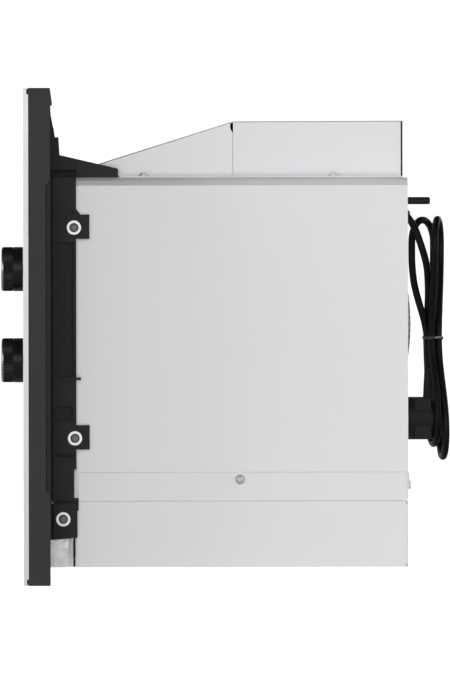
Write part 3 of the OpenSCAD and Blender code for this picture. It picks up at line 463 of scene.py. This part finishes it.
def hank_route():
    """The cord's whole line in millimetres: the lead, the loops through the tie, and the run to the plug."""
    route = LEAD + LEAD_RUN
    for slot, (start, end, tip_z) in zip(TIE_SLOTS, LOOP_ENDS):
        through = (*slot, TIE_Z)
        if route[-1] != LEAD_RUN[-1]:
            route = route + run(route[-1], through)
        turn = loop_end(start, end, tip_z)
        route = route + [through] + run(through, turn[0]) + turn
    route = route + LAST_RUN + [(*TIE_SLOTS[-1], TIE_Z)] + TAIL
    return [Vector(p) for p in route]


def even_steps(points, step):
    """The same line, as a smooth curve cut into steps of one length."""
    fine = []
    for i in range(len(points) - 1):
        p0, p1 = points[max(i - 1, 0)], points[i]
        p2, p3 = points[i + 1], points[min(i + 2, len(points) - 1)]
        for k in range(8):
            t = k / 8
            fine.append(0.5 * (2 * p1 + (p2 - p0) * t + (2 * p0 - 5 * p1 + 4 * p2 - p3) * t * t
                               + (3 * p1 - p0 - 3 * p2 + p3) * t * t * t))
    fine.append(points[-1])
    length = sum((b - a).length for a, b in zip(fine, fine[1:]))
    count = max(2, round(length / step))
    target, out, walked = length / count, [fine[0]], 0.0
    for a, b in zip(fine, fine[1:]):
        piece = (b - a).length
        while piece and walked + piece >= target * len(out) - 1e-9 and len(out) < count:
            out.append(a + (b - a) * ((target * len(out) - walked) / piece))
        walked += piece
    return out + [fine[-1]]


def settle(points, diameter, rounds=90):
    """Pushes strands that lie in each other apart, and spreads each push smoothly along the cord."""
    base = np.array([list(p) for p in points])
    shift = np.zeros_like(base)
    free = np.ones(len(base))
    # The first and last steps, at the gland and the plug, stay where they are.
    free[:6] = 0
    free[-5:] = 0
    index = np.arange(len(base))
    apart = np.abs(np.subtract.outer(index, index)) > 8
    for _ in range(rounds):
        line = base + shift
        gap = line[:, None, :] - line[None, :, :]
        distance = np.sqrt((gap**2).sum(2)) + 1e-9
        push = np.where(apart & (distance < diameter), (diameter - distance) / distance * 0.25, 0.0)
        shift += (gap * push[:, :, None]).sum(1) * free[:, None]
        shift[1:-1] += 0.35 * ((shift[:-2] + shift[2:]) / 2 - shift[1:-1]) * free[1:-1, None]
    return [Vector(p) for p in base + shift]


def make_cord():
    route = [p * MM for p in settle(even_steps(hank_route(), CORD_STEP), CORD_D / MM)]
    curve = bpy.data.curves.new("mains_cord", "CURVE")
    curve.dimensions = "3D"
    curve.bevel_depth = CORD_D / 2
    curve.bevel_resolution = 4
    curve.use_fill_caps = True
    spline = curve.splines.new("POLY")
    spline.points.add(len(route) - 1)
    for point, place in zip(spline.points, route):
        point.co = (*place, 1.0)
    length = sum((b - a).length for a, b in zip(route, route[1:]))
    cord = link_piece("mains_cord", curve, "cord_black", "root")
    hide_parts("cord_lead", "cord_hank")
    print("cord length", round(length, 4))
    return cord, length


cord, cord_length = make_cord()


def tube_mesh(name, path, width, height, closed=False, sides=10):
    """A tube along a path in millimetres; its section is width across by height along Z or the nearest."""
    mesh = bmesh.new()
    rings = []
    count = len(path)
    for i, place in enumerate(path):
        before = path[i - 1] if closed or i else path[i]
        after = path[(i + 1) % count] if closed or i + 1 < count else path[i]
        along = (Vector(after) - Vector(before)).normalized()
        up = Vector((0, 0, 1)) if abs(along.z) < 0.9 else Vector((0, 1, 0))
        across = along.cross(up).normalized()
        up = across.cross(along)
        rings.append([
            mesh.verts.new((Vector(place) + across * (width / 2 * math.cos(math.tau * k / sides))
                            + up * (height / 2 * math.sin(math.tau * k / sides))) * MM)
            for k in range(sides)
        ])
    for i in range(count if closed else count - 1):
        a, b = rings[i], rings[(i + 1) % count]
        for k in range(sides):
            mesh.faces.new((a[k], a[(k + 1) % sides], b[(k + 1) % sides], b[k]))
    if not closed:
        mesh.faces.new(rings[0][::-1])
        mesh.faces.new(rings[-1])
    data = bpy.data.meshes.new(name)
    mesh.to_mesh(data)
    mesh.free()
    smooth(data, 50.0)
    return data


WIRE_RADIUS = 0.55
BAND_STEPS = 72


def make_tie():
    """A sleeved wire drawn round the five strands, and its twisted ends lying on the bundle."""
    reach = CORD_D / MM / 2 + WIRE_RADIUS
    band = []
    for i in range(BAND_STEPS):
        turn = math.tau * i / BAND_STEPS
        direction = (math.cos(turn), math.sin(turn))
        far = max(TIE_SLOTS, key=lambda slot: slot[0] * direction[0] + slot[1] * direction[1])
        wave = 0.25 * math.sin(3 * turn)
        band.append((far[0] + reach * direction[0], far[1] + reach * direction[1], TIE_Z + wave))
    ring = link_piece("tie_band", tube_mesh("tie_band", band, 1.1, 2.2, closed=True), "tie_grey", "root")
    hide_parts("cord_tie")
    ends = []
    for phase in (0.0, math.pi):
        path = []
        for i in range(33):
            turn = math.tau * i / 11 + phase
            path.append((95.2 + WIRE_RADIUS * math.cos(turn) - 0.02 * i, 155.0 + 0.17 * i,
                         TIE_Z + 0.3 + WIRE_RADIUS * math.sin(turn) + 0.02 * i))
        ends.append(link_piece("tie_end", tube_mesh("tie_end", path, 1.0, 1.0), "spring_steel", "root"))
    return [ring] + ends


tie_pieces = make_tie()

# ---------------------------------------------------------------- duct cover's painted edge shade and fold shade


def block_mesh(name, low, high, rounding=0.15):
    """A block between two corners in millimetres."""
    mesh = bmesh.new()
    corners = [
        mesh.verts.new(mm(*(high[k] if corner >> k & 1 else low[k] for k in range(3))))
        for corner in range(8)
    ]
    for face in ((0, 2, 3, 1), (4, 5, 7, 6), (0, 1, 5, 4), (2, 6, 7, 3), (0, 4, 6, 2), (1, 3, 7, 5)):
        mesh.faces.new([corners[k] for k in face])
    bmesh.ops.bevel(mesh, geom=mesh.edges[:], offset=rounding * MM, segments=1, affect="EDGES")
    data = bpy.data.meshes.new(name)
    mesh.to_mesh(data)
    mesh.free()
    return data


DUCT_FOLD_Y = -7.0
FOLD_SHADE_HALF_WIDTH = 0.16
# Inner and outer faces of the painted-shade strips, either side of the duct cover's own side faces.
EDGE_SHADE_X = (191.4, 192.3)
FOLD_SHADE_X = (191.8, 192.15)


def make_duct_strips():
    """Dark strips down the duct cover's rear edges, and a thin darker strip along its bend: both painted
    shade.
    """
    duct = NODES["duct_cover"]
    corners = [duct.matrix_world @ Vector(corner) for corner in duct.bound_box]
    back, top = max(c.y for c in corners) / MM, max(c.z for c in corners) / MM
    for side in (-1, 1):
        # Painted shade: a dark strip where the sheet turns away at the rear edge.
        x = sorted(side * face for face in EDGE_SHADE_X)
        edge_shade = block_mesh("duct_edge_shade", (x[0], back - 1.4, top - 44.4), (x[1], back, top - 0.7))
        link_piece("duct_edge_shade", edge_shade, "bracket_black", "root")
        # Painted shade: a thin darker strip along the fold's crease.
        x = sorted(side * face for face in FOLD_SHADE_X)
        low = (x[0], DUCT_FOLD_Y - FOLD_SHADE_HALF_WIDTH, top - 43)
        high = (x[1], DUCT_FOLD_Y + FOLD_SHADE_HALF_WIDTH, top - 9.6)
        link_piece("duct_fold_shade", block_mesh("duct_fold_shade", low, high, 0.05), "vent_grey", "root")


make_duct_strips()

# ---------------------------------------------------------------- softened edges


def soften(node, width):
    """A small rounding on a CAD node's sharp edges."""
    bevel = NODES[node].modifiers.new("rounding", "BEVEL")
    bevel.width = width
    bevel.segments = 2
    bevel.limit_method = "ANGLE"
    bevel.angle_limit = math.radians(40.0)
    bevel.harden_normals = False


for node, width in {
    "trim_frame": 0.4, "frame_skin": 0.25, "side_cheeks": 0.35, "air_deflector": 0.5,
    "outer_cabinet": 0.3, "chassis_base": 0.35, "rear_panel": 0.3, "stand_box": 0.5,
    "stand_brackets": 0.3, "duct_cover": 0.25, "door_frame": 0.6, "control_panel": 0.6,
    "push_button": 0.7, "plug": 0.8, "cord_gland": 0.5, "front_plate": 0.2, "release_lever": 0.4,
    "latch_hook": 0.4, "latch_board": 0.4, "timer_unit": 0.8, "power_selector": 0.8,
    "door_switches": 0.4, "transformer": 0.8, "waveguide": 0.6, "door_choke": 0.3, "door_glass": 0.5,
}.items():
    soften(node, width * MM)

# ---------------------------------------------------------------- floor, light and world

FLOOR_Z = cad_box[0].z - 0.0002


def make_floor():
    """A floor that is plain white in the picture; it casts no shadow and adds no diffuse light."""
    mesh = bpy.data.meshes.new("floor")
    half = 4.0
    corners = [(-half, -half, FLOOR_Z), (half, -half, FLOOR_Z), (half, half, FLOOR_Z), (-half, half, FLOOR_Z)]
    mesh.from_pydata(corners, [], [(0, 1, 2, 3)])
    floor = bpy.data.objects.new("floor", mesh)
    bpy.context.scene.collection.objects.link(floor)
    look = Look("floor_pale", (0.45, 0.45, 0.45), 0.9, Specular_IOR_Level=0.0)
    seen = look.node("ShaderNodeLightPath")
    look.set("Emission Color", (1.0, 1.0, 1.0, 1.0))
    look.link(seen.outputs["Is Camera Ray"], look.shader.inputs["Emission Strength"])
    mesh.materials.append(look.material)
    floor.visible_shadow = False
    floor.visible_diffuse = False


def sun(name, towards, strength, spread):
    """A sun that shines towards a direction, with its spread in degrees, and isn't mirrored in the metals."""
    data = bpy.data.lights.new(name, "SUN")
    data.energy = strength
    data.angle = math.radians(spread)
    light = bpy.data.objects.new(name, data)
    bpy.context.scene.collection.objects.link(light)
    light.rotation_mode = "QUATERNION"
    light.rotation_quaternion = Vector(towards).to_track_quat("-Z", "Y")
    light.visible_glossy = False


# The world's brightness: everywhere, from the photograph's side, overhead, and added on the other sides.
WORLD_BACK, WORLD_FRONT, WORLD_TOP, WORLD_SIDES = 0.15, 1.15, 0.05, 0.7


def make_world():
    """White behind the object. Its light is brightest from the photograph's side, and dark overhead."""
    world = bpy.data.worlds.new("studio")
    bpy.context.scene.world = world
    world.use_nodes = True
    nodes, links = world.node_tree.nodes, world.node_tree.links

    def ranged(source, low, high, to_low, to_high):
        made = nodes.new("ShaderNodeMapRange")
        made.interpolation_type = "SMOOTHSTEP"
        for socket, number in zip(RANGE_SOCKETS, (low, high, to_low, to_high)):
            made.inputs[socket].default_value = number
        links.new(source, made.inputs["Value"])
        return made.outputs["Result"]

    def combined(operation, first, second):
        made = nodes.new("ShaderNodeMath")
        made.operation = operation
        links.new(first, made.inputs[0])
        links.new(second, made.inputs[1])
        return made.outputs["Value"]

    background = nodes["Background"]
    coordinates = nodes.new("ShaderNodeTexCoord")
    split = nodes.new("ShaderNodeSeparateXYZ")
    links.new(coordinates.outputs["Generated"], split.inputs[0])
    facing = ranged(split.outputs["X"], 0.6, 0.97, WORLD_BACK, WORLD_FRONT)
    steep = nodes.new("ShaderNodeMath")
    steep.operation = "ABSOLUTE"
    links.new(split.outputs["Z"], steep.inputs[0])
    height = ranged(steep.outputs["Value"], 0.3, 0.48, 1.0, WORLD_TOP)
    front = ranged(split.outputs["Y"], -0.85, -0.5, WORLD_SIDES, 0.0)
    rear = ranged(split.outputs["Y"], 0.6, 0.9, 0.0, WORLD_SIDES / 2)
    far = ranged(split.outputs["X"], -0.85, -0.4, WORLD_SIDES, 0.0)
    around = combined("ADD", combined("ADD", facing, front), combined("ADD", rear, far))
    glow = combined("MULTIPLY", around, height)
    seen = nodes.new("ShaderNodeLightPath")
    mix = nodes.new("ShaderNodeMix")
    mix.inputs[3].default_value = 1.1
    links.new(seen.outputs["Is Camera Ray"], mix.inputs["Factor"])
    links.new(glow, mix.inputs[2])
    links.new(mix.outputs[0], background.inputs["Color"])


make_floor()
make_world()
sun("key", (-1.0, -0.02, -0.02), 1.7, 34.0)
sun("front", (-0.08, 1.0, -0.2), 2.2, 60.0)
sun("rear", (0.0, -1.0, -0.1), 1.7, 60.0)
sun("far", (1.0, 0.02, -0.08), 1.6, 60.0)
bpy.context.scene.view_settings.view_transform = "Standard"
